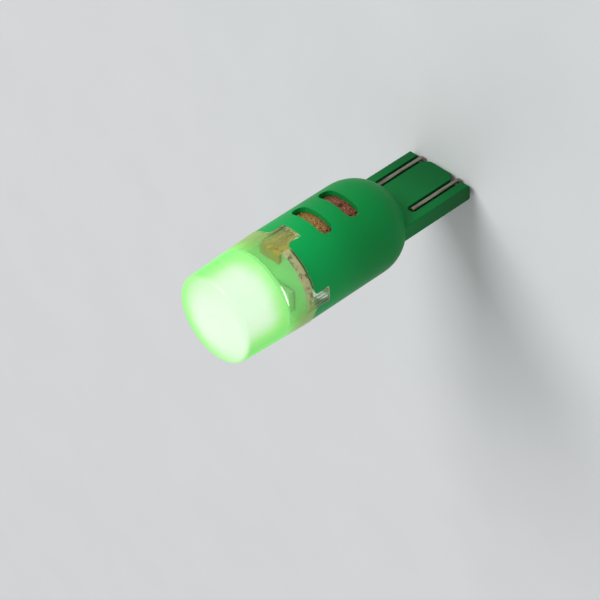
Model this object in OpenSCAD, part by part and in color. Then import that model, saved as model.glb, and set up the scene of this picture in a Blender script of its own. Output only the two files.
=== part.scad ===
// Wedge-base LED bulb: a one-piece moulded base with a flat blade, a clear cap with a solid
// diffusing front, and the two circuit boards that the pair encloses.
// Origin: centre of the blade's end. +Z runs along the axis to the lens, X across the blade's
// width, Y through its thickness. The contact wires lie on the -Y face of the blade.

/* [Blade] */
// Width of the wedge blade
blade_w = 9.5; // [9:0.1:9.9]
// Thickness of the wedge blade
blade_t = 2.1; // [1.9:0.05:2.4]
// Height of the barrel's lower end above the blade's end
shoulder_z = 14.3; // [13.6:0.1:16]
// Setback of the outer strips from the middle of the blade's end
strip_setback = 0.25; // [0.1:0.05:0.6]
// Corner radius of the outer strips' ends
corner_r = 0.35; // [0.1:0.05:0.5]
// Chamfer at the corners of the middle part of the blade's end
middle_chamfer = 1.2; // [0.6:0.1:1.4]
// Radius of the blade's long edges
long_edge_r = 0.2; // [0.05:0.05:0.4]
// Lead-in chamfer on both faces at the blade's end
lead_in = 0.45; // [0.1:0.05:0.6]

/* [Wire grooves] */
// Distance between the two contact wires
wire_pitch = 5.9; // [5:0.1:6.6]
// Width of the groove that each wire lies in
groove_w = 1.2; // [0.8:0.05:1.4]
// Distance from the barrel's lower end down to the groove's closed end
groove_drop = 5.7; // [5.3:0.1:6.5]
// Depth of the notch in the blade's end
notch_h = 1.2; // [1.2:0.05:1.5]
// Radial clearance of the wire in its channel through the blade
channel_clear = 0.07; // [0.03:0.01:0.12]

/* [Barrel] */
// Outer diameter of the barrel
barrel_d = 11.7; // [11.5:0.1:13]
// Wall thickness of the barrel and shoulder
barrel_wall = 0.65; // [0.6:0.05:0.8]
// Length of the straight barrel
barrel_h = 11.9; // [11.6:0.1:14]
// Radius of the rounded shoulder under the barrel
shoulder_r = 5.5; // [5:0.1:5.7]
// Height of the rounded shoulder, down to its flat end
shoulder_h = 4.45; // [4.2:0.05:4.7]
// Thickness of the shoulder's flat end
floor_t = 0.9; // [0.7:0.05:1.1]

/* [Vents] */
// Number of vent slots on each side
vent_count = 2; // [1:1:2]
// Width of a vent slot across the barrel
vent_w = 5.6; // [4:0.1:6.4]
// Height of a vent slot
vent_h = 1.85; // [1:0.05:2.2]
// Distance between the vent slots
vent_pitch = 4.1; // [2.8:0.1:4.6]
// Distance from the rim to the first vent slot
vent_drop = 5.2; // [4.8:0.1:5.6]

/* [Lens] */
// How far the lens overhangs the barrel at the rim
lens_overhang = 0.07; // [0.02:0.01:0.12]
// How much the lens narrows from the rim to its front, on radius
lens_taper = 0.4; // [0.1:0.01:0.8]
// Length of the lens ahead of the rim
lens_h = 10.5; // [9:0.1:12]
// Wall thickness of the clear skirt
skirt_wall = 0.56; // [0.5:0.02:0.62]
// Length of the solid front of the lens
lens_solid_h = 6.6; // [5:0.1:7]
// Edge radius of the front
lens_edge_r = 0.7; // [0.4:0.1:1.4]
// Radius of the gently domed front face
lens_dome_r = 27; // [20:1:80]
// Corner radius of the hollow behind the solid front
hollow_edge_r = 0.4; // [0.1:0.05:0.8]

/* [Lens legs] */
// Pairs of opposite legs: the first over the blade's faces, the second over its edges
leg_pairs = 2; // [1:1:2]
// Width of the legs over the blade's faces
leg_w = 2.7; // [1.8:0.1:3]
// Width of the legs over the blade's edges
side_leg_w = 2; // [1.6:0.1:3]
// Length of a leg below the rim
leg_h = 2.1; // [1.4:0.1:2.6]
// Radius where a leg flares into the skirt
leg_root_r = 0.6; // [0.2:0.1:0.9]
// Clearance round a leg in its notch
leg_gap = 0.06; // [0.03:0.01:0.12]
// How far a leg stands out of the barrel's surface
leg_proud = 0.04; // [0:0.01:0.06]
// Number of fine ribs on a leg
rib_count = 4; // [2:1:5]
// Width of a rib
rib_w = 0.16; // [0.1:0.02:0.24]
// Height of a rib
rib_proud = 0.08; // [0.04:0.01:0.12]
// Distance that the ribs run on past the rim
rib_run = 0.9; // [0.3:0.1:1.5]
// Distance from the leg's end to the ribs
rib_inset = 0.25; // [0.1:0.05:0.5]

/* [LED board] */
// Thickness of the LED board
led_board_t = 1; // [0.8:0.1:1.2]
// Gap between the LED board and the skirt
led_board_gap = 0.05; // [0.03:0.01:0.08]
// Radius of the break-off notches in the board's edge
breakoff_r = 0.3; // [0.15:0.05:0.5]
// Angle of the first break-off notch
breakoff_angle = 214; // [200:1:220]

/* [LED packages] */
// Number of LED packages
led_count = 2; // [1:1:2]
// Side of a square LED package
led_w = 3; // [2.6:0.1:3.2]
// Height of an LED housing
led_h = 0.65; // [0.5:0.05:0.9]
// Distance between the packages
led_pitch = 3.9; // [3.5:0.1:4.4]
// Shift of the packages away from the driver board
led_shift = 0.6; // [0:0.1:1.2]
// Diameter of the resin window at the top of the housing
resin_d = 2.4; // [1.6:0.1:2.5]
// Draft of the resin window's wall
resin_draft = 0.2; // [0.05:0.05:0.3]
// Depth of the resin window
resin_h = 0.45; // [0.3:0.05:0.45]
// Cut corner that marks the package's polarity
led_chamfer = 0.35; // [0.1:0.05:0.5]
// Thickness of the solder terminals
terminal_t = 0.1; // [0.05:0.01:0.15]
// Width of a solder terminal
terminal_w = 1.2; // [0.8:0.1:1.25]
// Distance that a terminal shows outside the housing
terminal_out = 0.1; // [0.05:0.01:0.2]
// Setback of a terminal from the housing's other two sides
terminal_inset = 0.2; // [0.1:0.05:0.5]

/* [Driver board] */
// Thickness of the driver board
driver_t = 1; // [0.8:0.05:1.2]
// Distance from the bore's wall to the board's outer face
driver_setback = 0.45; // [0.4:0.05:0.8]
// Gap between the board's long edges and the bore
driver_gap = 0.08; // [0.04:0.01:0.15]
// Height of the board's lower end above the shoulder
driver_lift = 0.4; // [0.2:0.05:0.5]
// Width of the tongue that passes the LED board
tongue_w = 3; // [2:0.1:3.4]
// Height of the tongue above the LED board
tongue_proud = 0.4; // [0.3:0.05:0.8]
// Clearance of the tongue in the LED board
tongue_gap = 0.05; // [0.03:0.01:0.1]
// Thickness of the plated edge contacts
plating_t = 0.05; // [0.03:0.01:0.08]
// Distance that the plating runs down from the rim
plating_drop = 2.5; // [1:0.1:3.5]
// Space between the two plated contacts
plating_space = 0.3; // [0.2:0.05:0.6]
// Margin between the plating and the tongue's edges
plating_margin = 0.08; // [0.04:0.02:0.2]

/* [Heat spreader] */
// Gap between the heat spreader and the bore
spreader_gap = 0.04; // [0.02:0.01:0.08]
// Thickness of the spreader's sides, beside the board's long edges
spreader_t = 0.6; // [0.4:0.05:0.7]
// Distance that the spreader runs on above the first vent
spreader_margin = 0.6; // [0.3:0.1:0.9]
// Gap between the spreader and the board's long edges
spreader_side_gap = 0.06; // [0.03:0.01:0.1]
// Height of the spreader's foot, which the board stands on
spreader_foot_h = 0.3; // [0.2:0.05:0.35]

/* [Rectifier] */
// Width of the rectifier's body
rectifier_w = 3.6; // [2.8:0.1:3.9]
// Length of the rectifier's body
rectifier_h = 2.4; // [2:0.1:2.6]
// Thickness of the rectifier's body
rectifier_t = 1.3; // [1:0.1:1.6]
// Gap under the rectifier's body
rectifier_lift = 0.1; // [0.05:0.01:0.2]
// Width of a rectifier lead
lead_w = 0.6; // [0.4:0.05:0.8]
// Thickness of a rectifier lead
lead_t = 0.2; // [0.12:0.01:0.25]
// Reach of a lead past the body
lead_reach = 0.6; // [0.4:0.05:0.7]
// Distance between the leads on one side
lead_pitch = 2.2; // [1.6:0.1:2.4]

/* [Chip parts] */
// Length of a resistor
resistor_l = 2; // [1.6:0.1:2]
// Width of a resistor
resistor_w = 1.25; // [0.8:0.05:1.3]
// Thickness of a resistor
resistor_t = 0.5; // [0.4:0.05:0.6]
// Distance between the two resistors
resistor_pitch = 2.1; // [1.6:0.1:2.5]
// Length of the capacitor
capacitor_l = 3; // [2.4:0.1:3.2]
// Width of the capacitor
capacitor_w = 1.4; // [1.2:0.1:1.5]
// Thickness of the capacitor
capacitor_t = 1.2; // [0.8:0.1:1.4]
// Length of the metal end caps
cap_l = 0.4; // [0.25:0.05:0.5]
// Thickness of the metal end caps
cap_skin = 0.04; // [0.03:0.01:0.06]

/* [Contact wires] */
// Diameter of a contact wire
wire_d = 0.5; // [0.4:0.02:0.55]
// How far a wire stands out of the blade's face
wire_proud = 0.12; // [0.05:0.01:0.2]
// Gap between a wire and its groove's floor
wire_seat = 0.02; // [0.01:0.01:0.05]
// Recess of the folded wire behind the blade's end
wire_recess = 0.05; // [0.02:0.01:0.15]
// Distance from the groove's closed end to the wire's cut end
wire_tip_gap = 0.4; // [0.3:0.1:1.5]
// Distance from the shoulder down to where a wire starts to lean towards the driver board
wire_bend_drop = 3.2; // [3:0.1:3.4]
// Lean of the wire inside the shoulder
wire_lean = 40; // [34:1:46]
// Bend radius of the wire inside the shoulder
wire_bend_r = 0.8; // [0.6:0.1:1]
// Distance between the wires where they meet the driver board
wire_top_pitch = 2.9; // [2.6:0.1:3]

/* [Solder] */
// Radius of the solder mound round a wire, at the driver board
mound_r = 0.65; // [0.45:0.05:0.7]
// Radius of the solder mound at its top
mound_top_r = 0.35; // [0.3:0.05:0.45]
// Height of the solder mound
mound_h = 0.5; // [0.3:0.05:0.7]
// Radius of the solder fillet on the tongue
fillet_r = 0.36; // [0.2:0.02:0.38]
// Length of each solder fillet on the tongue
fillet_l = 1; // [0.6:0.1:1.2]

/* [Hidden] */
$fn = 64;
far = 40;
barrel_r = barrel_d / 2;
bore_r = barrel_r - barrel_wall;
rim_z = shoulder_z + barrel_h;
lens_z = rim_z + lens_h;
lens_r = barrel_r + lens_overhang;
lens_front_r = lens_r - lens_taper;
skirt_r = lens_r - skirt_wall;
leg_r = barrel_r + leg_proud;
led_board_r = skirt_r - led_board_gap;
led_board_z = rim_z + led_board_t;
led_z = led_board_z + terminal_t;
driver_y = bore_r - driver_setback;
driver_z = shoulder_z + driver_lift;
driver_in_y = -driver_y + driver_t;
driver_w = 2 * (sqrt(pow(bore_r, 2) - pow(driver_y, 2)) - driver_gap);
tongue_z = led_board_z + tongue_proud;
wire_r = wire_d / 2;
wire_x = wire_pitch / 2;
wire_y = blade_t / 2 + wire_proud - wire_r;
middle_w = wire_pitch - groove_w;
groove_d = wire_d - wire_proud + wire_seat;
groove_top = shoulder_z - groove_drop;
wire_tip_z = groove_top - wire_tip_gap;
wire_bend_z = shoulder_z - wire_bend_drop;
channel_r = wire_r + channel_clear;
hook_r = wire_y / 2;
hook_z = hook_r + wire_r + wire_recess;
wire_top_x = wire_top_pitch / 2;
wire_run = norm([wire_x - wire_top_x, driver_in_y]);
wire_bend_x = wire_bend_r * (1 - cos(wire_lean));
wire_top_z = wire_bend_z + wire_bend_r * sin(wire_lean) + (wire_run - wire_bend_x) / tan(wire_lean);
rectifier_span = rectifier_h + 2 * lead_reach;
part_gap = (rim_z - wire_top_z - mound_r - rectifier_span - resistor_l - capacitor_w) / 4;
rectifier_z = wire_top_z + mound_r + part_gap + rectifier_span / 2;
resistor_z = rectifier_z + rectifier_span / 2 + part_gap + resistor_l / 2;
capacitor_z = rim_z - part_gap - capacitor_w / 2;

// ---------------------------------------------------------------- shared shapes

// Side of the bulb that copy i of a pair stands on: -1 or +1.
function side(i) = 2 * i - 3;

// Tube wall between two radii.
module ring(outer, inner, z0, z1) {
    translate([0, 0, z0]) difference() {
        cylinder(r = outer, h = z1 - z0);
        translate([0, 0, -1]) cylinder(r = inner, h = z1 - z0 + 2);
    }
}

// Rectangle with its lower two corners rounded, its lower edge on y = 0.
module round_foot(w, h, r) {
    translate([-w / 2, r]) square([w, h - r]);
    translate([-w / 2 + r, 0]) square([w - 2 * r, h]);
    for (s = [-1, 1]) translate([s * (w / 2 - r), r]) circle(r);
}

// Slot with round ends, centred.
module round_slot(w, h) {
    square([w - h, h], center = true);
    for (s = [-1, 1]) translate([s * (w - h) / 2, 0]) circle(h / 2);
}

// Outline of a lens leg, hanging from y = 0 and flaring into the skirt at its root.
module leg_outline(w, h, up) {
    translate([-w / 2, -h]) square([w, h + up]);
    for (s = [0, 1]) mirror([s, 0]) translate([w / 2 - 0.01, 0]) difference() {
        translate([0, -leg_root_r]) square([leg_root_r + 0.01, leg_root_r + up]);
        translate([leg_root_r + 0.01, -leg_root_r]) circle(leg_root_r);
    }
}

// Width of the legs of a pair.
function leg_width(pair) = pair == 0 ? leg_w : side_leg_w;

// Places a drawing made in X and Y as an upright sheet at both legs of a pair, from the axis out.
module at_legs(pair) {
    for (a = [0, 180]) rotate([0, 0, 90 * pair + a])
        translate([0, 0, rim_z]) rotate([90, 0, 0]) linear_extrude(barrel_d) children();
}

// ---------------------------------------------------------------- moulded base

// Half profile of the barrel and its rounded shoulder with a flat end, as a solid of radius r.
module barrel_profile(r, round_r, end_z, top) {
    intersection() {
        translate([r - round_r, shoulder_z]) circle(round_r, $fn = 128);
        translate([0, end_z]) square([r, shoulder_z - end_z]);
    }
    translate([0, end_z]) square([r - round_r, shoulder_z - end_z]);
    translate([0, shoulder_z]) square([r, top - shoulder_z]);
}

// Front view of the outer strips, which a notch at each wire parts from the middle.
module strips_outline() {
    difference() {
        translate([0, strip_setback]) round_foot(blade_w, shoulder_z - strip_setback, corner_r);
        translate([-wire_x - groove_w / 2, -1]) square([wire_pitch + groove_w, notch_h + 1 - groove_w / 2]);
        translate([-wire_x, -1]) square([wire_pitch, notch_h + 1]);
        for (s = [-1, 1]) translate([s * wire_x, notch_h - groove_w / 2]) circle(groove_w / 2);
    }
}

// Front view of the middle part, which stands past the strips.
module middle_outline() {
    half = middle_w / 2;
    flat = half - middle_chamfer;
    polygon([[-flat, 0], [flat, 0], [half, middle_chamfer], [half, shoulder_z], [-half, shoulder_z],
        [-half, middle_chamfer]]);
}

// Gives a front view the blade's thickness, with a lead-in chamfer at its end at height z.
module blade_part(z) {
    face = blade_t / 2;
    flat = face - lead_in;
    intersection() {
        translate([0, face, 0]) rotate([90, 0, 0]) linear_extrude(blade_t) children();
        rotate([90, 0, 90]) linear_extrude(2 * blade_w, center = true)
            polygon([[-flat, z], [flat, z], [face, z + lead_in], [face, shoulder_z], [-face, shoulder_z],
                [-face, z + lead_in]]);
    }
}

module blade() {
    intersection() {
        union() {
            blade_part(strip_setback) strips_outline();
            blade_part(0) middle_outline();
        }
        linear_extrude(shoulder_z) {
            square([blade_w - 2 * long_edge_r, blade_t], center = true);
            square([blade_w, blade_t - 2 * long_edge_r], center = true);
            for (sx = [-1, 1], sy = [-1, 1])
                translate([sx * (blade_w / 2 - long_edge_r), sy * (blade_t / 2 - long_edge_r)])
                    circle(long_edge_r);
        }
    }
}

// Grooves on both faces of the blade, and the channel between them that each wire comes through.
module wire_cuts() {
    for (s = [-1, 1]) translate([s * wire_x, 0, 0]) {
        for (f = [0, 1]) mirror([0, f, 0]) translate([0, -blade_t / 2 + groove_d, 0])
            rotate([90, 0, 0]) linear_extrude(blade_t) {
                translate([-groove_w / 2, -1]) square([groove_w, groove_top - groove_w / 2 + 1]);
                translate([0, groove_top - groove_w / 2]) circle(groove_w / 2);
            }
        translate([0, 0, -1]) cylinder(r = channel_r, h = shoulder_z + 1);
    }
}

// Vent slots that run right through, so that both broad sides of the barrel are open.
module vent_cuts() {
    for (i = [0 : vent_count - 1])
        translate([0, barrel_d, rim_z - vent_drop - i * vent_pitch])
            rotate([90, 0, 0]) linear_extrude(2 * barrel_d) round_slot(vent_w, vent_h);
}

module base_shell() {
    end_z = shoulder_z - shoulder_h;
    color([0, 0.6, 0.3]) difference() {
        union() {
            rotate_extrude() barrel_profile(barrel_r, shoulder_r, end_z, rim_z);
            blade();
        }
        rotate_extrude() barrel_profile(bore_r, shoulder_r - barrel_wall, end_z + floor_t, rim_z + 1);
        wire_cuts();
        vent_cuts();
        for (pair = [0 : leg_pairs - 1])
            at_legs(pair) leg_outline(leg_width(pair) + 2 * leg_gap, leg_h + leg_gap, 1);
    }
}

// ---------------------------------------------------------------- lens

// Half profile of the lens's outside. The edge radius is tangent to the domed front.
module lens_profile() {
    edge_x = lens_front_r - lens_edge_r;
    dome_z = lens_z - lens_dome_r;
    edge_z = dome_z + sqrt(pow(lens_dome_r - lens_edge_r, 2) - pow(edge_x, 2));
    slope = atan((lens_r - lens_front_r) / (edge_z - rim_z));
    spread = 1.2 * lens_dome_r / (lens_dome_r - lens_edge_r);
    polygon([[0, rim_z], [lens_r, rim_z],
        [edge_x + lens_edge_r * cos(slope), edge_z + lens_edge_r * sin(slope)],
        [edge_x, edge_z], [0, edge_z]]);
    translate([edge_x, edge_z]) circle(lens_edge_r);
    intersection() {
        translate([0, dome_z]) circle(lens_dome_r, $fn = 200);
        polygon([[0, edge_z], [edge_x, edge_z],
            [edge_x * spread, dome_z + (edge_z - dome_z) * spread], [0, lens_z + 1]]);
    }
}

// Half profile of the hollow behind the lens's solid front.
module hollow_profile() {
    h = lens_h - lens_solid_h;
    translate([0, rim_z - 1]) square([skirt_r, h - hollow_edge_r + 1]);
    translate([0, rim_z]) square([skirt_r - hollow_edge_r, h]);
    translate([skirt_r - hollow_edge_r, rim_z + h - hollow_edge_r]) circle(hollow_edge_r);
}

// Fine upright ribs, spaced evenly over a leg of width w.
module rib_outline(w) {
    for (i = [0 : rib_count - 1])
        translate([w * ((i + 0.5) / rib_count - 0.5) - rib_w / 2, rib_inset - leg_h])
            square([rib_w, leg_h - rib_inset + rib_run]);
}

module diffuser_lens() {
    root = skirt_wall / 2;
    color([0.75, 1, 0.75, 0.6]) union() {
        rotate_extrude() difference() {
            lens_profile();
            hollow_profile();
        }
        for (pair = [0 : leg_pairs - 1]) {
            intersection() {
                at_legs(pair) leg_outline(leg_width(pair), leg_h, root);
                ring(leg_r, skirt_r, rim_z - leg_h - 1, rim_z + root);
            }
            intersection() {
                at_legs(pair) rib_outline(leg_width(pair));
                ring(leg_r + rib_proud, leg_r - root, rim_z - leg_h, rim_z + rib_run);
            }
        }
    }
}

// ---------------------------------------------------------------- LED board

module led_board() {
    slot_w = tongue_w + 2 * tongue_gap;
    color([0.85, 0.8, 0.65]) difference() {
        translate([0, 0, rim_z]) cylinder(r = led_board_r, h = led_board_t);
        translate([-slot_w / 2, driver_in_y + tongue_gap - far, rim_z - 1])
            cube([slot_w, far, led_board_t + 2]);
        for (a = [0, 180]) rotate([0, 0, breakoff_angle + a])
            translate([led_board_r, 0, rim_z - 1]) cylinder(r = breakoff_r, h = led_board_t + 2);
    }
}

// Moves to the middle of LED package i, at height z.
module at_led(i, z) {
    translate([(i - (led_count + 1) / 2) * led_pitch, led_shift, z]) children();
}

module resin_shape() {
    translate([0, 0, led_h - resin_h])
        cylinder(r1 = resin_d / 2 - resin_draft, r2 = resin_d / 2, h = resin_h);
}

module led_housing(i) {
    half = led_w / 2;
    cut = half - led_chamfer;
    if (i <= led_count) color([0.97, 0.97, 0.94]) at_led(i, led_z) difference() {
        linear_extrude(led_h)
            polygon([[-half, -half], [half, -half], [half, cut], [cut, half], [-half, half]]);
        resin_shape();
    }
}

module led_resin(i) {
    if (i <= led_count) color([0.8, 1, 0.75]) at_led(i, led_z) resin_shape();
}

module led_terminals(i) {
    l = led_w - 2 * terminal_inset;
    if (i <= led_count) color([0.8, 0.8, 0.82]) at_led(i, led_board_z) for (s = [-1, 1])
        translate([s * (led_w / 2 + terminal_out - terminal_w / 2), 0, terminal_t / 2])
            cube([terminal_w, l, terminal_t], center = true);
}

// ---------------------------------------------------------------- driver board

module driver_board() {
    color([0.62, 0.4, 0.22]) {
        translate([-driver_w / 2, -driver_y, driver_z]) cube([driver_w, driver_t, rim_z - driver_z]);
        translate([-tongue_w / 2, -driver_y, rim_z - 1]) cube([tongue_w, driver_t, tongue_z - rim_z + 1]);
    }
}

// Two plated contacts on the tongue's outer face.
module edge_plating() {
    w = (tongue_w - plating_space) / 2 - plating_margin;
    h = tongue_z - plating_margin - rim_z + plating_drop;
    color([0.85, 0.68, 0.25]) for (s = [-1, 1])
        translate([s * (plating_space + w) / 2 - w / 2, -driver_y - plating_t, rim_z - plating_drop])
            cube([w, plating_t, h]);
}

// Heat spreader on the board's outer face. It follows the bore behind the vents, with a side
// beside each long edge of the board and a foot below that joins them.
module heat_spreader() {
    r = bore_r - spreader_gap;
    half = driver_w / 2 + spreader_side_gap;
    end_x = vent_w / 2 + spreader_gap;
    top_z = rim_z - vent_drop + vent_h / 2 + spreader_margin;
    color([0.6, 0.35, 0.2]) intersection() {
        difference() {
            ring(r, r - spreader_t, driver_z - spreader_foot_h, top_z);
            translate([-half, -driver_y, driver_z]) cube([2 * half, far, far]);
        }
        translate([-end_x, -far, 0]) cube([2 * end_x, far, far]);
    }
}

// Solder fillets in the corner between the LED board and the tongue's inner face.
module tongue_solder() {
    color([0.78, 0.78, 0.8]) for (s = [-1, 1])
        translate([s * tongue_w / 4 - fillet_l / 2, driver_in_y, led_board_z]) intersection() {
            rotate([0, 90, 0]) cylinder(r = fillet_r, h = fillet_l);
            cube([fillet_l, fillet_r, fillet_r]);
        }
}

// Moves to a place on the driver board's inner face, with the part's height along +Z.
module on_driver(x, z) {
    translate([x, driver_in_y, z]) rotate([-90, 0, 0]) children();
}

module rectifier_body() {
    draft = 0.1;
    color([0.12, 0.12, 0.13]) on_driver(0, rectifier_z) translate([0, 0, rectifier_lift])
        rotate([90, 0, 90]) linear_extrude(rectifier_w, center = true)
            polygon([[-rectifier_h / 2 + draft, 0], [rectifier_h / 2 - draft, 0],
                [rectifier_h / 2, rectifier_t / 2], [rectifier_h / 2 - draft, rectifier_t],
                [-rectifier_h / 2 + draft, rectifier_t], [-rectifier_h / 2, rectifier_t / 2]]);
}

// Gull-wing leads: out of the body at half height, down, and along the board.
module rectifier_leads() {
    exit_z = rectifier_lift + rectifier_t / 2;
    edge = rectifier_h / 2;
    color([0.8, 0.8, 0.82]) on_driver(0, rectifier_z)
        for (s = [0, 1], x = [-1, 1]) mirror([0, s, 0]) translate([x * lead_pitch / 2, 0, 0])
            rotate([90, 0, 90]) linear_extrude(lead_w, center = true)
                polygon([[edge, exit_z], [edge + 1.5 * lead_t, exit_z], [edge + 1.5 * lead_t, lead_t],
                    [edge + lead_reach, lead_t], [edge + lead_reach, 0], [edge + 0.5 * lead_t, 0],
                    [edge + 0.5 * lead_t, exit_z - lead_t], [edge + 0.1 * lead_t, exit_z - lead_t]]);
}

// Body of a chip part with its length along X, standing on z = 0.
module chip_body(l, w, t) {
    translate([-l / 2 + cap_skin, -w / 2 + cap_skin, cap_skin])
        cube([l - 2 * cap_skin, w - 2 * cap_skin, t - 2 * cap_skin]);
}

// Metal caps that wrap both ends of a chip part.
module chip_caps(l, w, t) {
    difference() {
        for (s = [-1, 1]) translate([s * (l - cap_l) / 2, 0, t / 2]) cube([cap_l, w, t], center = true);
        chip_body(l, w, t);
    }
}

// Moves to resistor i, which stands upright beside its neighbour.
module at_resistor(i) {
    on_driver(side(i) * resistor_pitch / 2, resistor_z) rotate([0, 0, 90]) children();
}

module resistor(i) {
    color([0.15, 0.15, 0.17]) at_resistor(i) chip_body(resistor_l, resistor_w, resistor_t);
}

module resistor_caps(i) {
    color([0.8, 0.8, 0.82]) at_resistor(i) chip_caps(resistor_l, resistor_w, resistor_t);
}

module capacitor_body() {
    color([0.72, 0.55, 0.38]) on_driver(0, capacitor_z)
        chip_body(capacitor_l, capacitor_w, capacitor_t);
}

module capacitor_caps() {
    color([0.8, 0.8, 0.82]) on_driver(0, capacitor_z)
        chip_caps(capacitor_l, capacitor_w, capacitor_t);
}

// ---------------------------------------------------------------- contact wires

// Wire bend that starts at the origin along +Z and turns towards +X.
module wire_bend(angle) {
    rotate([0, 0, 180]) rotate([90, 0, 0]) translate([-wire_bend_r, 0, 0])
        rotate_extrude(angle = angle) translate([wire_bend_r, 0]) circle(wire_r);
}

// Centre line of one wire with its thickness: cut end in the groove, fold round the blade's end,
// channel, and a lean that runs on past the driver board's inner face.
module wire_route(i) {
    lean_turn = atan2(driver_in_y, -side(i) * (wire_x - wire_top_x));
    lean_l = (wire_run - wire_bend_x) / sin(wire_lean) + 2 * wire_d;
    translate([side(i) * wire_x, 0, 0]) {
        translate([0, -wire_y, hook_z]) cylinder(r = wire_r, h = wire_tip_z - hook_z);
        translate([0, -hook_r, hook_z]) rotate([0, -90, 0]) rotate([0, 0, 90])
            rotate_extrude(angle = 180) translate([hook_r, 0]) circle(wire_r);
        translate([0, 0, hook_z]) cylinder(r = wire_r, h = wire_bend_z - hook_z);
        translate([0, 0, wire_bend_z]) rotate([0, 0, lean_turn]) {
            wire_bend(wire_lean);
            translate([wire_bend_x, 0, wire_bend_r * sin(wire_lean)]) rotate([0, wire_lean, 0])
                cylinder(r = wire_r, h = lean_l);
        }
    }
}

// The wire ends flat on the driver board's inner face.
module contact_wire(i) {
    color([0.75, 0.73, 0.7]) difference() {
        wire_route(i);
        translate([-far / 2, driver_in_y - far, 0]) cube(far);
    }
}

// Mound of solder round a wire's end on the driver board.
module wire_solder(i) {
    color([0.78, 0.78, 0.8]) difference() {
        on_driver(side(i) * wire_top_x, wire_top_z)
            cylinder(r1 = mound_r, r2 = mound_top_r, h = mound_h);
        wire_route(i);
    }
}

// ---------------------------------------------------------------- assembly

base_shell();
diffuser_lens();
led_board();
driver_board();
edge_plating();
heat_spreader();
tongue_solder();
rectifier_body();
rectifier_leads();
capacitor_body();
capacitor_caps();
for (i = [1, 2]) {
    led_housing(i);
    led_resin(i);
    led_terminals(i);
    resistor(i);
    resistor_caps(i);
    contact_wire(i);
    wire_solder(i);
}
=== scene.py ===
"""Looks of a wedge-base LED bulb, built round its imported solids.

Every solid of the bulb keeps its shape and gets a procedural finish. The grit on the copper
behind the vents is built here. All lengths are metres, in the frame of the solids: +Z runs along
the axis towards the lens, and the wires lie on the -Y face.
"""

import logging
import math
import random
from dataclasses import dataclass, field
from enum import Enum
from typing import Optional, Union

import bmesh
import bpy
from mathutils import Matrix, Vector


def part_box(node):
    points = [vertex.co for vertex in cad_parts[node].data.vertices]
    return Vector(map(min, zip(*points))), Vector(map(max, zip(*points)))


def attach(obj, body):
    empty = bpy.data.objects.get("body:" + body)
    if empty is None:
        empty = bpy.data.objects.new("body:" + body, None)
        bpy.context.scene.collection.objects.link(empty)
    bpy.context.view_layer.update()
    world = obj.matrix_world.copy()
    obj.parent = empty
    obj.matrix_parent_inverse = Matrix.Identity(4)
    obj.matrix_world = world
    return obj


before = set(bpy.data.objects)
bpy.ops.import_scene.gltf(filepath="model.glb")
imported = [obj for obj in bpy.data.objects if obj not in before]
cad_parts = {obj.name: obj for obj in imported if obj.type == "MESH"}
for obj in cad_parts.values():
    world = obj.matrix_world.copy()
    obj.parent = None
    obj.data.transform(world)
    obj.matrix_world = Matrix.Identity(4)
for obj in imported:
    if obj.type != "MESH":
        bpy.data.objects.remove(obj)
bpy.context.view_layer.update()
LOG = logging.getLogger("bulb")
MM = 0.001

# Heights of the barrel's rim, of the LED board's face and of the lens's front.
RIM_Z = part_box("led_board")[0].z
FACE_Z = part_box("led_board")[1].z
FRONT_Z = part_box("diffuser_lens")[1].z

Triple = tuple[float, float, float]
Colour = Triple
Number = Union[float, "Field"]
BLACK: Colour = (0.0, 0.0, 0.0)
EVEN: Triple = (1.0, 1.0, 1.0)


def srgb(red: int, green: int, blue: int) -> Colour:
    """Linear colour of an 8-bit display colour."""
    def linear(value: int) -> float:
        """Linear share of one channel."""
        share = value / 255
        return share / 12.92 if share <= 0.04045 else ((share + 0.055) / 1.055) ** 2.4
    return linear(red), linear(green), linear(blue)


class Axis(Enum):
    """An axis of the bulb's frame, with its place in a vector."""

    X = 0
    Y = 1
    Z = 2


# ------------------------------------------------------------------ shader toolkit

# Places of the Mix node's colour sockets, whose names its other sockets share.
MIX_FIRST = 6
MIX_SECOND = 7
MIX_COLOUR = 2
BEVEL_SAMPLES = 4


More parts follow.
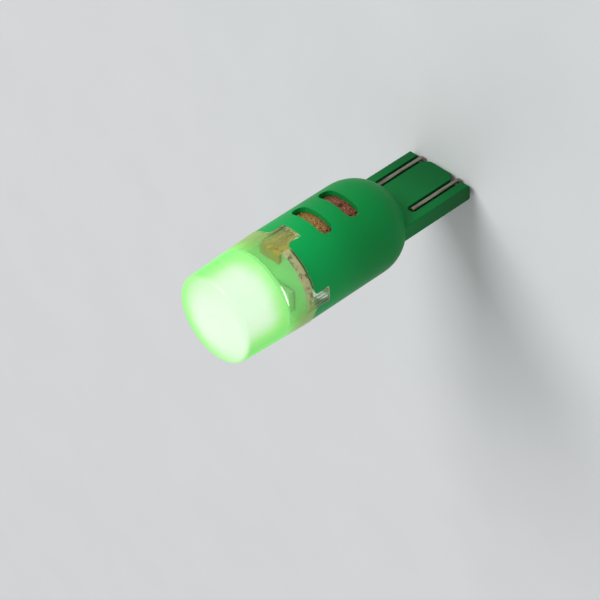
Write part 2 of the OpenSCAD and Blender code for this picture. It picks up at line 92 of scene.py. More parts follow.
class Field:
    """A number that varies over a surface, with plain arithmetic that adds Math nodes."""

    def __init__(self, tree: "Tree", socket: bpy.types.NodeSocket) -> None:
        """Wraps an output socket of a tree."""
        self.tree = tree
        self.socket = socket

    def _math(self, operation: str, *values: Number) -> "Field":
        """Adds one Math node and returns its result."""
        made = self.tree.node("ShaderNodeMath", {"operation": operation}, dict(enumerate(values)))
        return Field(self.tree, made.outputs[0])

    def __add__(self, other: Number) -> "Field":
        """Sum."""
        return self._math("ADD", self, other)

    __radd__ = __add__

    def __sub__(self, other: Number) -> "Field":
        """Difference."""
        return self._math("SUBTRACT", self, other)

    def __rsub__(self, other: Number) -> "Field":
        """Difference from a plain number."""
        return self._math("SUBTRACT", other, self)

    def __mul__(self, other: Number) -> "Field":
        """Product."""
        return self._math("MULTIPLY", self, other)

    __rmul__ = __mul__

    def __truediv__(self, other: Number) -> "Field":
        """Quotient."""
        return self._math("DIVIDE", self, other)

    def __pow__(self, other: Number) -> "Field":
        """Power."""
        return self._math("POWER", self, other)

    def __abs__(self) -> "Field":
        """Distance from nought."""
        return self._math("ABSOLUTE", self)

    def most(self, other: Number) -> "Field":
        """The greater of the field and the other value."""
        return self._math("MAXIMUM", self, other)

    def wave(self) -> "Field":
        """Sine of the field, in radians."""
        return self._math("SINE", self)

    def step(self, low: float, high: float) -> "Field":
        """Smooth step from 0 at low to 1 at high.

        Args:
            low: value at which the step starts.
            high: value at which it is complete. It may be the lower one.

        Returns:
            The step as a field from 0 to 1.
        """
        made = self.tree.node("ShaderNodeMapRange", {"interpolation_type": "SMOOTHSTEP"},
                              {"Value": self, "From Min": low, "From Max": high})
        return Field(self.tree, made.outputs["Result"])


class Tree:
    """A node tree, with one method that adds any node."""

    def __init__(self, tree: bpy.types.NodeTree) -> None:
        """Takes over a tree and clears it."""
        self.tree = tree
        self.tree.nodes.clear()

    def node(self, kind: str, settings: Optional[dict] = None,
             inputs: Optional[dict] = None) -> bpy.types.Node:
        """Adds a node.

        Args:
            kind: the node's type name.
            settings: properties to set before the sockets, such as an operation.
            inputs: a value, a Field, or a socket for each input, by name or by place.

        Returns:
            The new node.
        """
        made = self.tree.nodes.new(kind)
        for key, value in (settings or {}).items():
            setattr(made, key, value)
        for key, value in (inputs or {}).items():
            self.join(value, made.inputs[key])
        return made

    def join(self, value: object, socket: bpy.types.NodeSocket) -> None:
        """Links a Field or a socket to an input, or sets a plain value on it."""
        if isinstance(value, Field):
            value = value.socket
        if isinstance(value, bpy.types.NodeSocket):
            self.tree.links.new(value, socket)
        elif socket.type == "RGBA" and len(value) == 3:
            socket.default_value = (*value, 1.0)
        else:
            socket.default_value = value


class Sheet(Tree):
    """A material's node tree, with the patterns that the finishes are made of."""

    def __init__(self, name: str) -> None:
        """Starts a material with one Principled shader on its output."""
        self.material = bpy.data.materials.new(name)
        self.material.use_nodes = True
        super().__init__(self.material.node_tree)
        self.output = self.node("ShaderNodeOutputMaterial")
        self.shader = self.node("ShaderNodeBsdfPrincipled")
        self.join(self.shader.outputs[0], self.output.inputs["Surface"])
        self.place = self.node("ShaderNodeTexCoord").outputs["Object"]

    def set(self, **values: object) -> None:
        """Sets the shader's sockets. An underscore in a name stands for a space."""
        for key, value in values.items():
            self.join(value, self.shader.inputs[key.replace("_", " ")])

    def over(self, share: Number, **values: object) -> None:
        """Lays a second Principled shader over the first.

        Args:
            share: where the second shader shows, from 0 to 1.
            values: the second shader's sockets, named as in set().
        """
        inputs = {key.replace("_", " "): value for key, value in values.items()}
        second = self.node("ShaderNodeBsdfPrincipled", None, inputs)
        mixed = self.node("ShaderNodeMixShader", None, {
            0: share, 1: self.shader.outputs[0], 2: second.outputs[0]})
        self.join(mixed.outputs[0], self.output.inputs["Surface"])

    def axis(self, axis: Axis) -> Field:
        """One coordinate of the surface point, in metres."""
        parts = self.node("ShaderNodeSeparateXYZ", None, {0: self.place})
        return Field(self, parts.outputs[axis.value])

    def radius(self) -> Field:
        """Distance of the surface point from the bulb's axis, in metres."""
        return (self.axis(Axis.X) ** 2.0 + self.axis(Axis.Y) ** 2.0) ** 0.5

    def stretched(self, scale: Triple) -> bpy.types.NodeSocket:
        """Object coordinates, stretched by a factor along each axis."""
        made = self.node("ShaderNodeVectorMath", {"operation": "MULTIPLY"}, {0: self.place, 1: scale})
        return made.outputs[0]

    def noise(self, size: float, detail: float = 2.0, roughness: float = 0.5,
              stretch: Triple = EVEN) -> Field:
        """Noise from 0 to 1.

        Args:
            size: rough size of its features, in metres.
            detail: how many finer layers are added.
            roughness: how strong those layers are.
            stretch: factor on the coordinates along each axis. A low one draws the noise out.

        Returns:
            The noise as a field.
        """
        made = self.node("ShaderNodeTexNoise", None, {
            "Vector": self.stretched(stretch), "Scale": 1 / size, "Detail": detail,
            "Roughness": roughness})
        return Field(self, made.outputs[0])

    def mix(self, share: Number, first: object, second: object) -> bpy.types.NodeSocket:
        """Mixes two colours.

        Args:
            share: share of the second colour.
            first: a colour or a colour socket.
            second: a colour or a colour socket.

        Returns:
            The mixed colour's socket.
        """
        made = self.node("ShaderNodeMix", {"data_type": "RGBA"}, {
            MIX_FIRST: first, MIX_SECOND: second, "Factor": share})
        return made.outputs[MIX_COLOUR]

    def relief(self, height: Number, depth: float, edge: float = 0.0) -> bpy.types.NodeSocket:
        """Normal from a height field, over softened edges.

        Args:
            height: the height field, from 0 to 1.
            depth: the height in metres of a field value of 1.
            edge: radius of the softened edges, or 0 for none.

        Returns:
            The normal's socket.
        """
        inputs: dict = {"Height": height, "Distance": depth, "Strength": 1.0}
        if edge:
            soft = self.node("ShaderNodeBevel", {"samples": BEVEL_SAMPLES}, {"Radius": edge})
            inputs["Normal"] = soft.outputs[0]
        return self.node("ShaderNodeBump", None, inputs).outputs[0]


# ------------------------------------------------------------------ finishes


@dataclass(frozen=True)
class GreenMoulding:
    """Satin green plastic from a spark-eroded mould, with a little painted light from inside near the
    rim and painted shade towards the blade's end.

    Attributes:
        body: colour of the barrel.
        blade_shade: colour at the blade's end, darkened with painted shade.
        lit: colour at the rim.
        glow_depth: how far below the rim the light reaches.
        cloud: size of the soft clouds in the colour.
        flow: size of the flow marks.
        grain: size of the mould's grain.
        relief: depth of the grain and the flow marks.
        edge: radius of the softened edges.
    """

    body: Colour = srgb(0, 140, 63)
    blade_shade: Colour = srgb(0, 90, 39)
    lit: Colour = srgb(0, 172, 83)
    glow_depth: float = 9.0 * MM
    cloud: float = 3.2 * MM
    flow: float = 1.4 * MM
    grain: float = 0.11 * MM
    relief: float = 0.016 * MM
    edge: float = 0.1 * MM

    def material(self) -> bpy.types.Material:
        """Builds the material."""
        sheet = Sheet("green_moulding")
        height = sheet.axis(Axis.Z) + sheet.noise(self.cloud, 3.0) * 1.5 * MM
        # Painted shade darkens the moulding towards the blade's end, and painted light brightens it
        # near the rim.
        colour = sheet.mix(height.step(0.0, RIM_Z * 0.7), self.blade_shade, self.body)
        colour = sheet.mix(height.step(RIM_Z - self.glow_depth, RIM_Z), colour, self.lit)
        grain = sheet.noise(self.grain, 3.0, 0.6)
        flow = sheet.noise(self.flow, 2.0, 0.5, (1.0, 1.0, 0.25))
        sheet.set(Base_Color=colour, Roughness=0.36 + grain * 0.14 + flow * 0.06,
                  Subsurface_Weight=0.1, Subsurface_Radius=(0.3, 1.0, 0.4),
                  Subsurface_Scale=0.6 * MM, Specular_IOR_Level=0.13,
                  Normal=sheet.relief(grain * 0.7 + flow * 0.5, self.relief, self.edge))
        return sheet.material


@dataclass(frozen=True)
class LensPlastic:
    """Clear plastic, a little milky, whose solid front is frosted and glows from within.

    Attributes:
        core: glow at its brightest.
        mid: glow between core and rim.
        rim: glow at its dimmest.
        ceiling: glow of the hollow's ceiling.
        frost: colour of the frost.
        tint: colour of the clear plastic.
        haze: colour of the haze in the skirt.
        haze_low: glow of the haze at the rim.
        haze_high: glow of the haze below the frost.
        bright_side: direction across the axis in which, and against which, the flank is brightest.
        dim_side: direction across the axis in which the front face dims.
        milk: least share of haze in the clear plastic.
        frost_z: height at which the frost starts outside.
        ceiling_z: height of the hollow's ceiling.
        hollow_r: radius of the hollow.
        front_r: radius of the front face.
        glow_rise: height over which the flank's glow grows.
        ior: index of refraction.
        edge: radius of the softened edges.
    """

    core: Colour = (0.63, 0.66, 0.60)
    mid: Colour = (0.24, 0.57, 0.14)
    rim: Colour = (0.09, 0.46, 0.05)
    ceiling: Colour = (0.22, 0.34, 0.20)
    frost: Colour = srgb(84, 186, 76)
    tint: Colour = srgb(226, 250, 222)
    haze: Colour = srgb(154, 192, 90)
    haze_low: Colour = (0.05, 0.11, 0.02)
    haze_high: Colour = (0.07, 0.44, 0.07)
    bright_side: tuple[float, float] = (0.656, 0.755)
    dim_side: tuple[float, float] = (0.85, 0.53)
    milk: float = 0.03
    frost_z: float = RIM_Z + 4.1 * MM
    ceiling_z: float = RIM_Z + 3.45 * MM
    hollow_r: float = 5.34 * MM
    front_r: float = 5.3 * MM
    glow_rise: float = 3.4 * MM
    ior: float = 1.49
    edge: float = 0.1 * MM

    def lobe(self, sheet: Sheet) -> Field:
        """Two-sided lobe of the light from the pair of LEDs, from 0 to 1 round the axis."""
        x, y = sheet.axis(Axis.X), sheet.axis(Axis.Y)
        along = abs(x * self.bright_side[0] + y * self.bright_side[1])
        return (along / (sheet.radius() + 0.01 * MM)).step(0.33, 1.0)

    def heart(self, sheet: Sheet, lobe: Field) -> Field:
        """Share of the bright heart that shows at a point of the frosted front.

        Args:
            sheet: the material's sheet.
            lobe: the lobe round the axis.

        Returns:
            The share, from 0 at the dim edge to 1 at the heart.
        """
        x, y, z = (sheet.axis(axis) for axis in Axis)
        out = sheet.radius() / self.front_r
        drift = sheet.noise(3.0 * MM, 1.0) * 0.8 * MM
        rise = (z + drift).step(self.frost_z, self.frost_z + self.glow_rise)
        flank = lobe * (rise * 0.6 + 0.28) + 0.12
        aside = (x * self.dim_side[0] + y * self.dim_side[1]) / self.front_r
        face = 1.0 - out * (out + aside) * 0.48
        front = z.step(FRONT_Z - 1.2 * MM, FRONT_Z - 0.5 * MM)
        return flank + front * (face - flank)

    def material(self) -> bpy.types.Material:
        """Builds the material."""
        sheet = Sheet("lens_plastic")
        z = sheet.axis(Axis.Z)
        scuff = sheet.noise(0.5 * MM, 4.0, 0.65, (1.0, 1.0, 0.4))
        sheet.set(Base_Color=self.tint, Roughness=0.03 + scuff.step(0.55, 0.8) * 0.05,
                  Transmission_Weight=1.0, IOR=self.ior,
                  Normal=sheet.relief(scuff, 0.003 * MM, self.edge))

        # The frost covers the solid front outside and the hollow's ceiling inside.
        ripple = sheet.noise(2.6 * MM, 2.0) * 0.1 * MM
        outside = (z + ripple).step(self.frost_z, self.frost_z + 0.2 * MM)
        inside = sheet.radius().step(self.hollow_r, self.hollow_r - 0.02 * MM)
        ceiling = z.step(self.ceiling_z, self.ceiling_z + 0.05 * MM) * inside * (1.0 - outside)
        frosted = outside.most(ceiling)

        # Below it a thin haze, thickest where the lobe is dim, catches the light in the skirt.
        lobe = self.lobe(sheet)
        skirt = z.step(RIM_Z - 0.2 * MM, RIM_Z)
        milk = scuff * 0.1 + (1.0 - lobe) ** 2.0 * skirt * 0.6 + self.milk
        haze = sheet.mix(z.step(RIM_Z + 1.5 * MM, self.frost_z), self.haze_low, self.haze_high)

        heart = self.heart(sheet, lobe)
        glow = sheet.mix(heart.step(0.0, 0.55), self.rim, self.mid)
        glow = sheet.mix(heart.step(0.35, 1.0), glow, self.core)
        glow = sheet.mix(ceiling, glow, self.ceiling)
        frost = sheet.mix(scuff * 0.2, self.frost, self.tint)
        grain = sheet.noise(0.12 * MM, 2.0)
        sheet.over(frosted.most(milk), Base_Color=sheet.mix(frosted, self.haze, frost),
                   Roughness=0.34 + grain * 0.12, IOR=self.ior,
                   Emission_Color=sheet.mix(frosted, haze, glow), Emission_Strength=1.0,
                   Normal=sheet.relief(grain * 0.6 + scuff * 0.4, 0.012 * MM, self.edge))
        return sheet.material


@dataclass(frozen=True)
class BoardLaminate:
    """Pale glass laminate: a white coat on its face, tinted with painted green light from the LEDs,
    and cut fibre layers that pass some light.

    Attributes:
        edge: colour of the cut edge.
        fibre: colour of its fibres.
        burnt: colour of its chips.
        coat: colour of the face, its white coat with painted green light from the LEDs.
        lit: light that the cut edge passes.
        layer: thickness of a fibre layer.
    """

    edge: Colour = srgb(252, 216, 190)
    fibre: Colour = srgb(214, 152, 118)
    burnt: Colour = srgb(96, 54, 30)
    coat: Colour = srgb(206, 244, 210)
    lit: Colour = (0.24, 0.12, 0.11)
    layer: float = 0.17 * MM

    def material(self) -> bpy.types.Material:
        """Builds the material."""
        sheet = Sheet("board_laminate")
        z = sheet.axis(Axis.Z)
        phase = z * (2 * math.pi / self.layer) + sheet.noise(0.8 * MM) * 3.0
        layers = phase.wave() * 0.5 + 0.5
        speck = sheet.noise(0.08 * MM, 3.0, 0.7, (1.0, 1.0, 2.0))
        chips = sheet.noise(0.7 * MM, 4.0, 0.7).step(0.5, 0.62)
        cut = sheet.mix(layers * 0.3 + speck * 0.4, self.edge, self.fibre)
        cut = sheet.mix(chips * 0.8, cut, self.burnt)
        # The face shows the white coat, tinted with painted green light from the LEDs.
        face = z.step(FACE_Z - 0.04 * MM, FACE_Z - 0.02 * MM)
        clean = (1.0 - face) * (1.0 - chips * 0.9)
        sheet.set(Base_Color=sheet.mix(face, cut, self.coat),
                  Roughness=0.62 - face * 0.25 + speck * 0.1,
                  Emission_Color=sheet.mix(clean, BLACK, self.lit), Emission_Strength=1.0,
                  Normal=sheet.relief(layers * 0.3 + speck * 0.7, 0.02 * MM, 0.04 * MM))
        return sheet.material


@dataclass(frozen=True)
class BrownLaminate:
    """Brown resin board: mottled fibre, copper-coloured grains and a gilt tongue.

    Attributes:
        ground: colour of the resin.
        dark: colour of its dark mottles.
        grains: colour of its grains.
        gilt: colour of the tongue.
        gilt_z: height at which the tongue's colour starts.
    """

    ground: Colour = srgb(134, 78, 38)
    dark: Colour = srgb(70, 36, 18)
    grains: Colour = srgb(206, 138, 84)
    gilt: Colour = srgb(246, 178, 62)
    gilt_z: float = RIM_Z - 2.6 * MM

    def material(self) -> bpy.types.Material:
        """Builds the material."""
        sheet = Sheet("brown_laminate")
        mottle = sheet.noise(0.5 * MM, 4.0, 0.65)
        grit = sheet.noise(0.13 * MM, 3.0, 0.7)
        colour = sheet.mix(mottle.step(0.38, 0.62), self.dark, self.ground)
        colour = sheet.mix(grit.step(0.54, 0.68) * 0.8, colour, self.grains)
        gilt = (sheet.axis(Axis.Z) + mottle * 0.5 * MM).step(self.gilt_z, self.gilt_z + 0.5 * MM)
        sheet.set(Base_Color=sheet.mix(gilt * 0.8, colour, self.gilt), Roughness=0.5 - grit * 0.2,
                  Normal=sheet.relief(grit * 0.7 + mottle * 0.5, 0.05 * MM, 0.05 * MM))
        return sheet.material


@dataclass(frozen=True)
class RoughCopper:
    """Copper with a rough crust, dark in its pits, with painted highlights on its crests and painted
    light from the LEDs that turns it gilt near the lens and leaves it red-brown lower down.

    Attributes:
        crest_glint: colour of the crust's crests, a painted highlight.
        gilt: colour near the lens, the copper under painted light from the LEDs.
        copper: colour lower down.
        pit: colour of the pits and of the scorched spot.
        led_light_z: height at which the painted light from the LEDs starts to turn copper to gilt.
        led_light_rise: height over which it turns.
        scorch_x: place of the scorched spot across the axis.
        scorch_z: height of the scorched spot.
        scorch_size: reach of the scorched spot.
    """

    crest_glint: Colour = srgb(226, 194, 122)
    gilt: Colour = srgb(170, 124, 66)
    copper: Colour = srgb(146, 86, 66)
    pit: Colour = srgb(58, 28, 18)
    led_light_z: float = RIM_Z - 7.0 * MM
    led_light_rise: float = 2.8 * MM
    scorch_x: float = -0.3 * MM
    scorch_z: float = RIM_Z - 9.4 * MM
    scorch_size: float = 1.0 * MM

    def material(self) -> bpy.types.Material:
        """Builds the material."""
        sheet = Sheet("rough_copper")
        clump = sheet.noise(0.9 * MM, 3.0, 0.6, (1.0, 1.0, 1.8))
        grit = sheet.noise(0.34 * MM, 4.0, 0.7, (0.8, 0.8, 1.5))
        x, z = sheet.axis(Axis.X), sheet.axis(Axis.Z)
        # Painted light from the LEDs turns the copper gilt towards the lens and further to one side.
        place = z + x * 0.6 + clump * 2.0 * MM
        high = place.step(self.led_light_z, self.led_light_z + self.led_light_rise)
        colour = sheet.mix(high, self.copper, self.gilt)
        # Painted highlights pick out the crests, more strongly where the painted light from the LEDs
        # falls.
        colour = sheet.mix(grit.step(0.52, 0.66) * (high * 0.6 + 0.25), colour, self.crest_glint)
        colour = sheet.mix(grit.step(0.48, 0.34) * 0.8, colour, self.pit)
        scorch = abs(x - self.scorch_x) + abs(z - self.scorch_z) + grit * 0.7 * MM
        burn = scorch.step(self.scorch_size, self.scorch_size * 0.55) * 0.85
        colour = sheet.mix(burn, colour, self.pit)
        sheet.set(Base_Color=colour, Metallic=0.4 + clump * 0.3, Roughness=0.62 - grit * 0.3,
                  Normal=sheet.relief(grit * 0.6 + clump * 0.4, 0.09 * MM, 0.03 * MM))
        return sheet.material


@dataclass(frozen=True)
class PlatedMetal:
    """A bright metal with a fine drawn or plated surface, dulled in patches.

    Attributes:
        name: the material's name.
        bright: colour where it is clean.
        dull: colour where it is tarnished.
        roughness: roughness where it is clean.
        drawn: stretch of its streaks along each axis.
        relief: depth of its surface, in metres.
        metal: share of bare metal in the surface.
        patch: size of the tarnished patches, in metres.
        thrown: light that it throws back from the LEDs, if any.
        tip_z: height of a bare cut tip, if it has one.
        tip: colour of that tip.
    """

    name: str
    bright: Colour
    dull: Colour
    roughness: float = 0.28
    drawn: Triple = EVEN
    relief: float = 0.01 * MM
    metal: float = 1.0
    patch: float = 0.6 * MM
    thrown: Optional[Colour] = None
    tip_z: Optional[float] = None
    tip: Colour = srgb(196, 120, 84)

    def material(self) -> bpy.types.Material:
        """Builds the material."""
        sheet = Sheet(self.name)
        patch = sheet.noise(self.patch, 4.0, 0.6, self.drawn)
        fine = sheet.noise(0.07 * MM, 3.0, 0.6, self.drawn)
        tarnish = patch.step(0.42, 0.7)
        colour = sheet.mix(tarnish * 0.75, self.bright, self.dull)
        if self.tip_z is not None:
            near = abs(sheet.axis(Axis.Z) - self.tip_z).step(0.14 * MM, 0.02 * MM)
            outer = sheet.axis(Axis.Y).step(-0.4 * MM, -0.6 * MM)
            colour = sheet.mix(near * outer, colour, self.tip)
        sheet.set(Base_Color=colour, Metallic=self.metal,
                  Roughness=self.roughness + tarnish * 0.14 + fine * 0.12,
                  Normal=sheet.relief(fine * 0.6 + patch * 0.4, self.relief, 0.03 * MM))
        if self.thrown is not None:
            thrown = sheet.mix(tarnish * 0.75, self.thrown, BLACK)
            sheet.set(Emission_Color=thrown, Emission_Strength=1.0)
        return sheet.material


@dataclass(frozen=True)
class HardCoat:
    """A moulded or fired coat in one colour family: epoxy, ceramic, glaze or white plastic.

    Attributes:
        name: the material's name.
        ground: main colour.
        speckle: colour of its fine specks.
        roughness: roughness between the specks.
        size: size of the specks, in metres.
        share: how strongly the specks show.
    """

    name: str
    ground: Colour
    speckle: Colour
    roughness: float = 0.5
    size: float = 0.14 * MM
    share: float = 0.4

    def material(self) -> bpy.types.Material:
        """Builds the material."""
        sheet = Sheet(self.name)
        speck = sheet.noise(self.size, 3.0, 0.6)
        cloud = sheet.noise(self.size * 6, 2.0)
        shown = speck.step(0.45, 0.75) * self.share + cloud * 0.15
        colour = sheet.mix(shown, self.ground, self.speckle)
        sheet.set(Base_Color=colour, Roughness=self.roughness + speck * 0.12 - cloud * 0.05,
                  Normal=sheet.relief(speck * 0.6 + cloud * 0.4, 0.012 * MM, 0.03 * MM))
        return sheet.material


@dataclass(frozen=True)
class LitResin:
    """Clear resin over a lit LED, with a swirl of green in its white light.

    Attributes:
        heart: colour of the brighter swirls.
        skin: colour of the greener swirls.
        strength: strength of the light.
    """

    heart: Colour = srgb(214, 255, 206)
    skin: Colour = srgb(130, 255, 124)
    strength: float = 3.6

    def material(self) -> bpy.types.Material:
        """Builds the material."""
        sheet = Sheet("led_resin")
        swirl = sheet.noise(0.7 * MM, 2.0)
        sheet.set(Base_Color=sheet.mix(swirl, self.skin, self.heart),
                  Roughness=0.12 + swirl * 0.1,
                  Emission_Color=sheet.mix(swirl.step(0.3, 0.6), self.skin, self.heart),
                  Emission_Strength=self.strength, Normal=sheet.relief(swirl, 0.02 * MM))
        return sheet.material


# Finish that the terminals, leads and end caps of both boards share.
TINNED = PlatedMetal("tinned_metal", srgb(208, 208, 206), srgb(150, 148, 142), 0.26)


# ------------------------------------------------------------------ the bulb's parts


def dress(node: str, material: bpy.types.Material) -> None:
    """Gives a solid of the bulb its finish."""
    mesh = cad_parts[node].data
    mesh.materials.clear()
    mesh.materials.append(material)
    LOG.info("dressed %s with %s", node, material.name)


def add_piece(name: str, shape: bmesh.types.BMesh, material: bpy.types.Material) -> None:
    """Makes a finished bmesh a piece of the bulb.

    Args:
        name: the piece's name.
        shape: the piece's bmesh, in the bulb's frame. It is freed.
        material: its finish.
    """
    for face in shape.faces:
        face.smooth = True
    mesh = bpy.data.meshes.new(name)
    shape.to_mesh(mesh)
    shape.free()
    mesh.materials.append(material)
    made = bpy.data.objects.new(name, mesh)
    bpy.context.collection.objects.link(made)
    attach(made, "root")
    LOG.info("built %s: %d faces", name, len(mesh.polygons))


@dataclass
class Base:
    """The moulded base with its folded contact wires."""

    moulding: GreenMoulding = field(default_factory=GreenMoulding)
    # The wire's bright and dull streaks along its length are partly tarnish and partly painted
    # highlights and shade.
    wire: PlatedMetal = PlatedMetal("tinned_wire", srgb(158, 148, 136), srgb(66, 54, 46), 0.26,
                                    (1.0, 1.0, 0.1), 0.02 * MM, patch=0.22 * MM, tip_z=8.2 * MM)

    def build(self) -> None:
        """Dresses the moulding and both wires."""
        dress("base_shell", self.moulding.material())
        wire = self.wire.material()
        for i in (1, 2):
            dress(f"contact_wire_{i}", wire)


@dataclass
class Lens:
    """The clear cap with its glowing front."""

    plastic: LensPlastic = field(default_factory=LensPlastic)

    def build(self) -> None:
        """Dresses the cap."""
        dress("diffuser_lens", self.plastic.material())


@dataclass
class Spreader:
    """The heat spreader behind the vents, with the grit that shows through them.

    Attributes:
        copper: finish of the spreader and the grit.
        face_r: radius of the spreader's outer face.
        window_z: heights of the two vents.
        window_half: half width of the patch of grit in a vent.
        window_rise: half height of that patch.
        grains: number of grains in each vent.
        smallest: least radius of a grain.
        largest: greatest radius of a grain.
        flat: stretch of a grain across, out of and along the face.
        seed: start of the random draws.
    """

    copper: RoughCopper = field(default_factory=RoughCopper)
    face_r: float = 5.16 * MM
    window_z: tuple[float, float] = (RIM_Z - 5.2 * MM, RIM_Z - 9.3 * MM)
    window_half: float = 2.5 * MM
    window_rise: float = 0.75 * MM
    grains: int = 90
    smallest: float = 0.06 * MM
    largest: float = 0.17 * MM
    flat: Triple = (1.6, 0.55, 0.8)
    seed: int = 7

    def grit(self, material: bpy.types.Material) -> None:
        """Scatters flat grains on the spreader's face, in each vent's window.

        Args:
            material: finish of the grains.
        """
        draw = random.Random(self.seed)
        shape = bmesh.new()
        for z in self.window_z:
            for _ in range(self.grains):
                across = draw.uniform(-self.window_half, self.window_half)
                up = draw.uniform(-self.window_rise, self.window_rise)
                size = draw.uniform(self.smallest, self.largest)
                lie = draw.uniform(0.2, 1.4)
                matrix = Matrix.Rotation(math.asin(across / self.face_r), 4, "Z")
                matrix = matrix @ Matrix.Translation((0.0, -self.face_r, z + up))
                matrix = matrix @ Matrix.Rotation(lie, 4, "Y") @ Matrix.Diagonal((*self.flat, 1.0))
                bmesh.ops.create_icosphere(shape, subdivisions=1, radius=size, matrix=matrix)
        add_piece("spreader_grit", shape, material)

    def build(self) -> None:
        """Dresses the spreader and adds the grit."""
        material = self.copper.material()
        dress("heat_spreader", material)
        self.grit(material)


@dataclass
class LightEngine:
    """The LED board with its packages."""

    laminate: BoardLaminate = field(default_factory=BoardLaminate)
    resin: LitResin = field(default_factory=LitResin)
    housing: HardCoat = HardCoat("white_housing", srgb(238, 238, 228), srgb(222, 220, 205), 0.45)

    def build(self, terminals: bpy.types.Material) -> None:
        """Dresses the board and the packages.

        Args:
            terminals: material of the solder terminals.
        """
        dress("led_board", self.laminate.material())
        housing = self.housing.material()
        resin = self.resin.material()
        for i in (1, 2):
            dress(f"led_housing_{i}", housing)
            dress(f"led_resin_{i}", resin)
            dress(f"led_terminals_{i}", terminals)


@dataclass
class Driver:
    """The driver board with its chips and joints."""

    laminate: BrownLaminate = field(default_factory=BrownLaminate)
    gilt: PlatedMetal = PlatedMetal("gold_plating", srgb(255, 176, 56), srgb(124, 54, 10), 0.4,
                                    relief=0.03 * MM, metal=0.3, thrown=(0.16, 0.10, 0.0))
    solder: PlatedMetal = PlatedMetal("solder", srgb(206, 206, 204), srgb(140, 138, 132), 0.22,
                                      relief=0.03 * MM)
    epoxy: HardCoat = HardCoat("black_epoxy", srgb(30, 30, 32), srgb(58, 58, 60), 0.55)
    glaze: HardCoat = HardCoat("resistor_glaze", srgb(24, 26, 34), srgb(44, 48, 60), 0.3)
    ceramic: HardCoat = HardCoat("capacitor_ceramic", srgb(176, 134, 92), srgb(150, 108, 70), 0.4)

    def build(self, terminals: bpy.types.Material) -> None:
        """Dresses the board, its parts and its joints.

        Args:
            terminals: material of leads and end caps.
        """
        dress("driver_board", self.laminate.material())
        dress("edge_plating", self.gilt.material())
        solder = self.solder.material()
        for node in ("tongue_solder", "wire_solder_1", "wire_solder_2"):
            dress(node, solder)
        glaze = self.glaze.material()
        for i in (1, 2):
            dress(f"resistor_{i}", glaze)
        dress("rectifier_body", self.epoxy.material())
        dress("capacitor_body", self.ceramic.material())
        for node in ("rectifier_leads", "resistor_caps_1", "resistor_caps_2", "capacitor_caps"):
            dress(node, terminals)


# ------------------------------------------------------------------ studio


def direction(azimuth: float, elevation: float) -> Vector:
    """Unit vector from the bulb towards an azimuth and elevation in degrees."""
    turn, rise = math.radians(azimuth), math.radians(elevation)
    return Vector((math.sin(turn) * math.cos(rise), -math.cos(turn) * math.cos(rise), math.sin(rise)))


@dataclass(frozen=True)
class Lamp:
    """A soft square lamp that faces the bulb.

    Attributes:
        name: the lamp's name.
        azimuth: degrees round the axis.
        elevation: degrees above the floor.
        power: watts that it would need at a distance of one metre.
        spread: its width per metre of its distance.
    """

    name: str
    azimuth: float
    elevation: float
    power: float
    spread: float

    def hang(self, aim: Vector, reach: float) -> None:
        """Hangs the lamp.

        Args:
            aim: the point that it faces.
            reach: its distance from that point, in metres.
        """
        data = bpy.data.lights.new(self.name, "AREA")
        data.energy = self.power * reach ** 2
        data.size = self.spread * reach
        lamp = bpy.data.objects.new(self.name, data)
        bpy.context.collection.objects.link(lamp)
        back = direction(self.azimuth, self.elevation)
        lamp.location = aim + back * reach
        lamp.rotation_euler = back.to_track_quat("Z", "Y").to_euler()


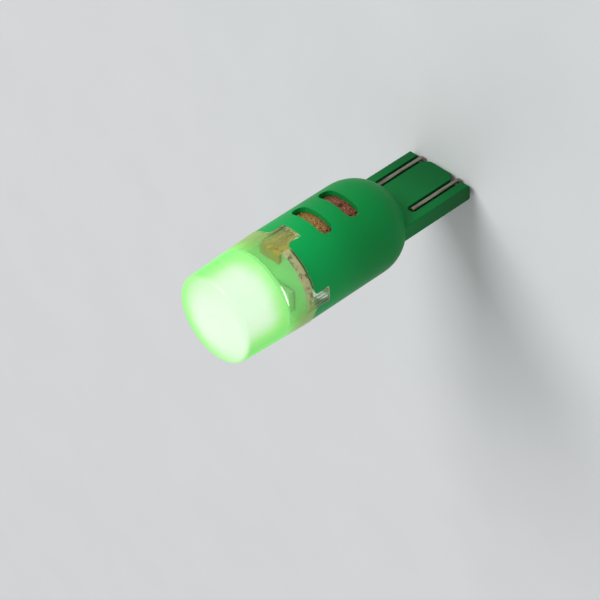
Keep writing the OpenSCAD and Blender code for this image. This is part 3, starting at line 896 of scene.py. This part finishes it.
@dataclass
class Studio:
    """Pale floor and surroundings, soft lamps, and the camera.

    Attributes:
        aim: the point that the camera and the lamps face.
        azimuth: the camera's azimuth, in degrees.
        elevation: its elevation, in degrees.
        roll: its turn about its own axis, in degrees.
        distance: its distance from the aim.
        focal: its focal length, in millimetres.
        near: its near clipping distance, in metres.
        far: its far clipping distance, in metres.
        floor_size: width of the floor, in metres.
        pale: colour of the floor and the surroundings.
        shade: second colour of the floor's faint grain.
        ambient: strength of the light from all round.
        reach: distance of the lamps from the aim, in metres.
        lamps: the lamps.
    """

    aim: Triple = (0.17 * MM, 5.29 * MM, 23.08 * MM)
    azimuth: float = -40.1
    elevation: float = 30.4
    roll: float = -123.2
    distance: float = 301 * MM
    focal: float = 159.5
    near: float = 0.01
    far: float = 10.0
    floor_size: float = 3.0
    pale: Colour = srgb(236, 238, 240)
    shade: Colour = srgb(234, 236, 238)
    ambient: float = 0.3
    reach: float = 3.0
    lamps: tuple[Lamp, ...] = (Lamp("key", 24.0, 38.0, 7.2, 0.625),
                               Lamp("fill", -100.0, 40.0, 0.375, 0.875),
                               Lamp("back", 150.0, 40.0, 1.25, 0.75))

    def camera(self) -> None:
        """Sets the camera."""
        data = bpy.data.cameras.new("camera")
        data.lens = self.focal
        data.clip_start = self.near
        data.clip_end = self.far
        camera = bpy.data.objects.new("camera", data)
        bpy.context.collection.objects.link(camera)
        back = direction(self.azimuth, self.elevation)
        camera.location = Vector(self.aim) + back * self.distance
        roll = Matrix.Rotation(math.radians(self.roll), 4, "Z").to_quaternion()
        camera.rotation_euler = (back.to_track_quat("Z", "Y") @ roll).to_euler()
        bpy.context.scene.camera = camera

    def floor_material(self) -> bpy.types.Material:
        """Pale matt surface with a faint grain."""
        sheet = Sheet("backdrop")
        grain = sheet.noise(12 * MM, 2.0).step(0.3, 0.7)
        sheet.set(Base_Color=sheet.mix(grain, self.pale, self.shade), Roughness=0.9,
                  Specular_IOR_Level=0.1)
        return sheet.material

    def floor(self) -> None:
        """Lays the floor under the blade's end."""
        mesh = bpy.data.meshes.new("floor")
        shape = bmesh.new()
        bmesh.ops.create_grid(shape, x_segments=1, y_segments=1, size=self.floor_size / 2)
        shape.to_mesh(mesh)
        shape.free()
        mesh.materials.append(self.floor_material())
        floor = bpy.data.objects.new("floor", mesh)
        bpy.context.collection.objects.link(floor)

    def world(self) -> None:
        """Sets an even light from all round, where a pale colour is seen and mirrored."""
        world = bpy.data.worlds.new("studio")
        world.use_nodes = True
        tree = Tree(world.node_tree)
        rays = tree.node("ShaderNodeLightPath").outputs
        seen = Field(tree, rays["Is Camera Ray"]).most(Field(tree, rays["Is Glossy Ray"]))
        seen = seen.most(Field(tree, rays["Is Transmission Ray"]))
        base = tree.node("ShaderNodeBackground", None, {"Color": EVEN, "Strength": self.ambient})
        shown = tree.node("ShaderNodeBackground", None, {"Color": self.pale, "Strength": 1.0})
        mixed = tree.node("ShaderNodeMixShader", None, {
            0: seen, 1: base.outputs[0], 2: shown.outputs[0]})
        tree.node("ShaderNodeOutputWorld", None, {"Surface": mixed.outputs[0]})
        bpy.context.scene.world = world

    def build(self) -> None:
        """Sets the stage."""
        self.camera()
        self.floor()
        self.world()
        for lamp in self.lamps:
            lamp.hang(Vector(self.aim), self.reach)
        bpy.context.scene.view_settings.view_transform = "Standard"


def main() -> None:
    logging.basicConfig(level=logging.INFO, format="%(message)s")
    tinned = TINNED.material()
    Base().build()
    Lens().build()
    LightEngine().build(tinned)
    Driver().build(tinned)
    Spreader().build()
    Studio().build()


if __name__ == "__main__":
    main()
